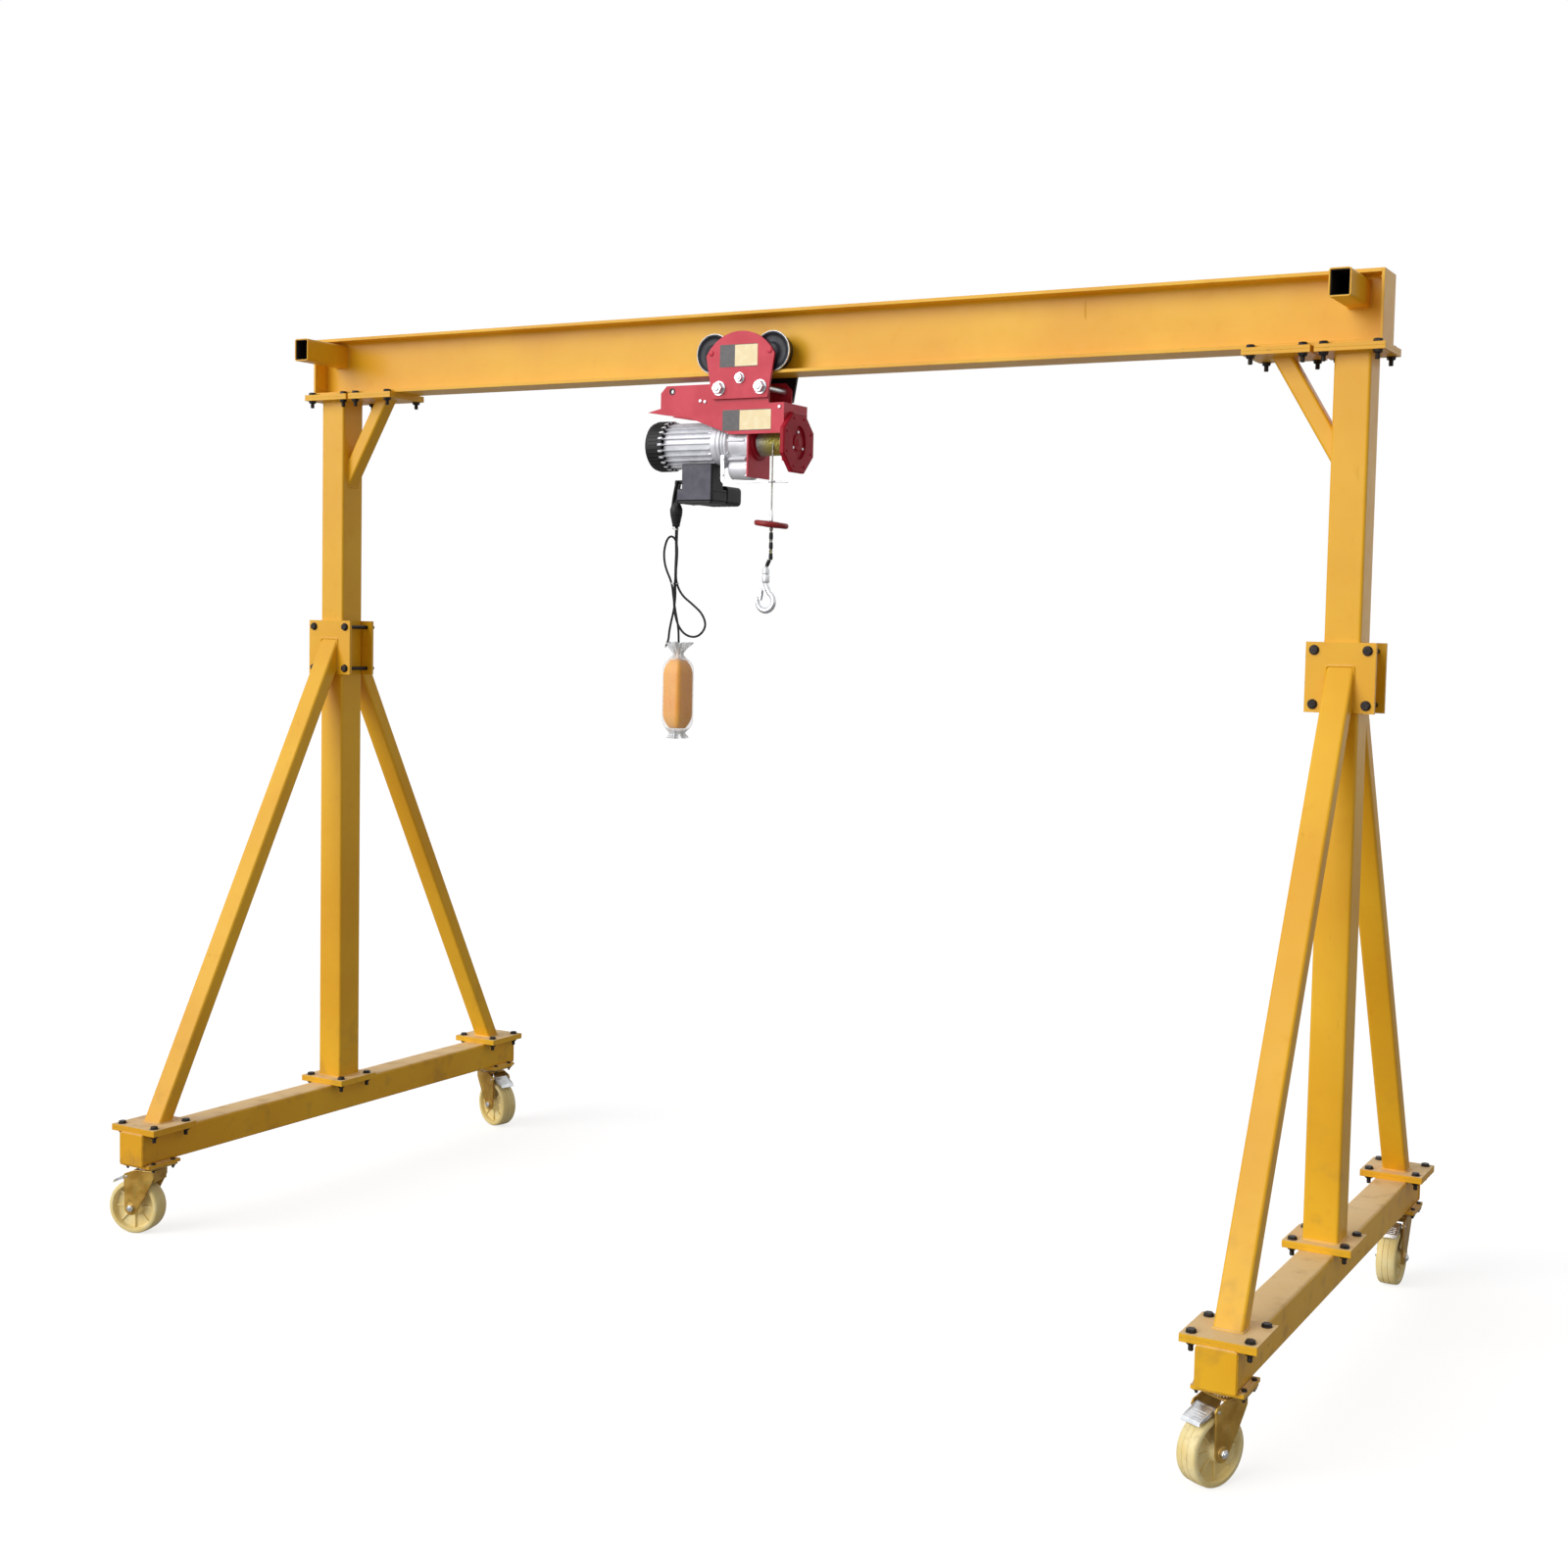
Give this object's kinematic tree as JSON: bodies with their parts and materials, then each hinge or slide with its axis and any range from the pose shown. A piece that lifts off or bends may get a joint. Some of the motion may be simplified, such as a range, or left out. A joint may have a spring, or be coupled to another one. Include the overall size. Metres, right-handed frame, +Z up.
{
  "type": "gantry crane",
  "caption": "Mobile gantry crane: an I-beam on two braced A-frame ends with locking swivel casters, carrying an electric wire-rope hoist on a push trolley.",
  "frame": {"origin": "on the floor, under the middle of the beam", "axes": "+X along the beam to the drum end of the hoist, +Y from the front to the rear, +Z up"},
  "size_m": [3.83, 1.9315, 2.98],
  "materials": {
    "frame_yellow": "gloss paint",
    "black_paint": "satin paint",
    "hoist_red": "satin powder coat",
    "cover_red": "satin powder coat",
    "bright_zinc": "zinc plate",
    "yellow_zinc": "yellow zinc plate",
    "cast_nylon": "cast",
    "motor_alloy": "die cast",
    "black_plastic": "moulded",
    "grey_plastic": "moulded",
    "disc_plastic": "moulded",
    "pendant_plastic": "moulded",
    "cable_rubber": "smooth sheath",
    "rope_steel": "greased strands"
  },
  "bodies": {
    "frame": {"main_beam": "frame_yellow", "beam_end_plates": "frame_yellow", "beam_pads": "frame_yellow", "cable_brackets": "frame_yellow", "left_mast": "frame_yellow", "right_mast": "frame_yellow", "mast_flanges": "frame_yellow", "left_knee_brace": "frame_yellow", "right_knee_brace": "frame_yellow", "left_base_beam": "frame_yellow", "right_base_beam": "frame_yellow", "base_end_caps": "frame_yellow", "foot_pads": "frame_yellow", "left_front_brace": "frame_yellow", "right_front_brace": "frame_yellow", "left_rear_brace": "frame_yellow", "right_rear_brace": "frame_yellow", "brace_feet": "frame_yellow", "clamp_plates": "frame_yellow", "caster_pads": "frame_yellow", "caster_plates": "yellow_zinc"},
    "left_front_caster": {"left_front_caster_fork": "yellow_zinc"},
    "left_front_wheel": {"left_front_caster_wheel": "cast_nylon"},
    "left_front_brake": {"left_front_caster_brake": "bright_zinc"},
    "right_front_caster": {"right_front_caster_fork": "yellow_zinc"},
    "right_front_wheel": {"right_front_caster_wheel": "cast_nylon"},
    "right_front_brake": {"right_front_caster_brake": "bright_zinc"},
    "left_rear_caster": {"left_rear_caster_fork": "yellow_zinc"},
    "left_rear_wheel": {"left_rear_caster_wheel": "cast_nylon"},
    "left_rear_brake": {"left_rear_caster_brake": "bright_zinc"},
    "right_rear_caster": {"right_rear_caster_fork": "yellow_zinc"},
    "right_rear_wheel": {"right_rear_caster_wheel": "cast_nylon"},
    "right_rear_brake": {"right_rear_caster_brake": "bright_zinc"},
    "trolley": {"trolley_front_plate": "hoist_red", "trolley_rear_plate": "black_paint", "trolley_rods": "bright_zinc", "hoist_frame": "hoist_red", "hoist_motor": "motor_alloy", "motor_fan_cover": "black_plastic", "hoist_gearbox": "motor_alloy", "hoist_end_cover": "cover_red", "electric_box": "grey_plastic", "capacitor": "black_plastic", "limit_lever": "bright_zinc", "cable_gland": "black_plastic", "pendant_cable": "cable_rubber", "supply_lead": "cable_rubber", "pendant": "pendant_plastic"},
    "trolley_wheel_left_front": {"trolley_wheel_left_front": "black_paint"},
    "trolley_wheel_left_rear": {"trolley_wheel_left_rear": "black_paint"},
    "trolley_wheel_right_front": {"trolley_wheel_right_front": "black_paint"},
    "trolley_wheel_right_rear": {"trolley_wheel_right_rear": "black_paint"},
    "drum": {"rope_drum": "cover_red"},
    "hook_line": {"hoist_rope": "rope_steel", "limit_disc": "disc_plastic", "rope_socket": "bright_zinc"},
    "hook": {"hook": "bright_zinc"},
    "latch": {"hook_latch": "bright_zinc"}
  },
  "joints": [
    {"name": "left_front_swivel", "type": "hinge", "parent": "frame", "child": "left_front_caster", "pos_m": [-1.8, -0.86, 0.215], "axis": [0, 0, 1], "continuous": true},
    {"name": "left_front_roll", "type": "hinge", "parent": "left_front_caster", "child": "left_front_wheel", "pos_m": [-1.84326, -0.8724, 0.088], "axis": [0.2756, -0.9613, 0], "continuous": true},
    {"name": "left_front_brake_press", "type": "hinge", "parent": "left_front_caster", "child": "left_front_brake", "pos_m": [-1.8596, -0.87709, 0.19], "axis": [0.2756, -0.9613, 0], "range_deg": [0, 10]},
    {"name": "right_front_swivel", "type": "hinge", "parent": "frame", "child": "right_front_caster", "pos_m": [1.8, -0.86, 0.215], "axis": [0, 0, 1], "continuous": true},
    {"name": "right_front_roll", "type": "hinge", "parent": "right_front_caster", "child": "right_front_wheel", "pos_m": [1.78098, -0.90078, 0.088], "axis": [0.9063, -0.4226, 0], "continuous": true},
    {"name": "right_front_brake_press", "type": "hinge", "parent": "right_front_caster", "child": "right_front_brake", "pos_m": [1.7738, -0.91619, 0.19], "axis": [0.9063, -0.4226, 0], "range_deg": [0, 10]},
    {"name": "left_rear_swivel", "type": "hinge", "parent": "frame", "child": "left_rear_caster", "pos_m": [-1.8, 0.86, 0.215], "axis": [0, 0, 1], "continuous": true},
    {"name": "left_rear_roll", "type": "hinge", "parent": "left_rear_caster", "child": "left_rear_wheel", "pos_m": [-1.75674, 0.8476, 0.088], "axis": [0.2756, 0.9613, 0], "continuous": true},
    {"name": "left_rear_brake_press", "type": "hinge", "parent": "left_rear_caster", "child": "left_rear_brake", "pos_m": [-1.7404, 0.84291, 0.19], "axis": [0.2756, 0.9613, 0], "range_deg": [0, 10]},
    {"name": "right_rear_swivel", "type": "hinge", "parent": "frame", "child": "right_rear_caster", "pos_m": [1.8, 0.86, 0.215], "axis": [0, 0, 1], "continuous": true},
    {"name": "right_rear_roll", "type": "hinge", "parent": "right_rear_caster", "child": "right_rear_wheel", "pos_m": [1.8, 0.815, 0.088], "axis": [1, 0, 0], "continuous": true},
    {"name": "right_rear_brake_press", "type": "hinge", "parent": "right_rear_caster", "child": "right_rear_brake", "pos_m": [1.8, 0.798, 0.19], "axis": [1, 0, 0], "range_deg": [0, 10]},
    {"name": "trolley_travel", "type": "slide", "parent": "frame", "child": "trolley", "axis": [1, 0, 0], "range_m": [-1.09, 1.46]},
    {"name": "trolley_wheel_left_front_roll", "type": "hinge", "parent": "trolley", "child": "trolley_wheel_left_front", "pos_m": [-0.201, 0, 2.8513], "axis": [0, 1, 0], "continuous": true},
    {"name": "trolley_wheel_left_rear_roll", "type": "hinge", "parent": "trolley", "child": "trolley_wheel_left_rear", "pos_m": [-0.201, 0, 2.8513], "axis": [0, 1, 0], "continuous": true},
    {"name": "trolley_wheel_right_front_roll", "type": "hinge", "parent": "trolley", "child": "trolley_wheel_right_front", "pos_m": [0.011, 0, 2.8513], "axis": [0, 1, 0], "continuous": true},
    {"name": "trolley_wheel_right_rear_roll", "type": "hinge", "parent": "trolley", "child": "trolley_wheel_right_rear", "pos_m": [0.011, 0, 2.8513], "axis": [0, 1, 0], "continuous": true},
    {"name": "hook_lower", "type": "slide", "parent": "trolley", "child": "hook_line", "axis": [0, 0, -1], "range_m": [-0.1, 1.9], "deforming": ["hoist_rope"]},
    {"name": "drum_spin", "type": "hinge", "parent": "trolley", "child": "drum", "pos_m": [0, 0, 2.575], "axis": [1, 0, 0], "continuous": true},
    {"name": "hook_swivel", "type": "hinge", "parent": "hook_line", "child": "hook", "pos_m": [-0.014, -0.0368, 2.167], "axis": [0, 0, 1], "continuous": true},
    {"name": "latch_press", "type": "hinge", "parent": "hook", "child": "latch", "pos_m": [-0.0305, -0.0368, 2.123], "axis": [0, -1, 0], "range_deg": [0, 20], "stiffness_Nm_per_rad": 0.02, "springref_deg": -20.05}
  ],
  "couplings": [
    {"joint": "trolley_wheel_left_front_roll", "follows": "trolley_travel", "rad_per_m": 17.857},
    {"joint": "trolley_wheel_left_rear_roll", "follows": "trolley_travel", "rad_per_m": 17.857},
    {"joint": "trolley_wheel_right_front_roll", "follows": "trolley_travel", "rad_per_m": 17.857},
    {"joint": "trolley_wheel_right_rear_roll", "follows": "trolley_travel", "rad_per_m": 17.857},
    {"joint": "drum_spin", "follows": "hook_lower", "rad_per_m": 27.174}
  ]
}
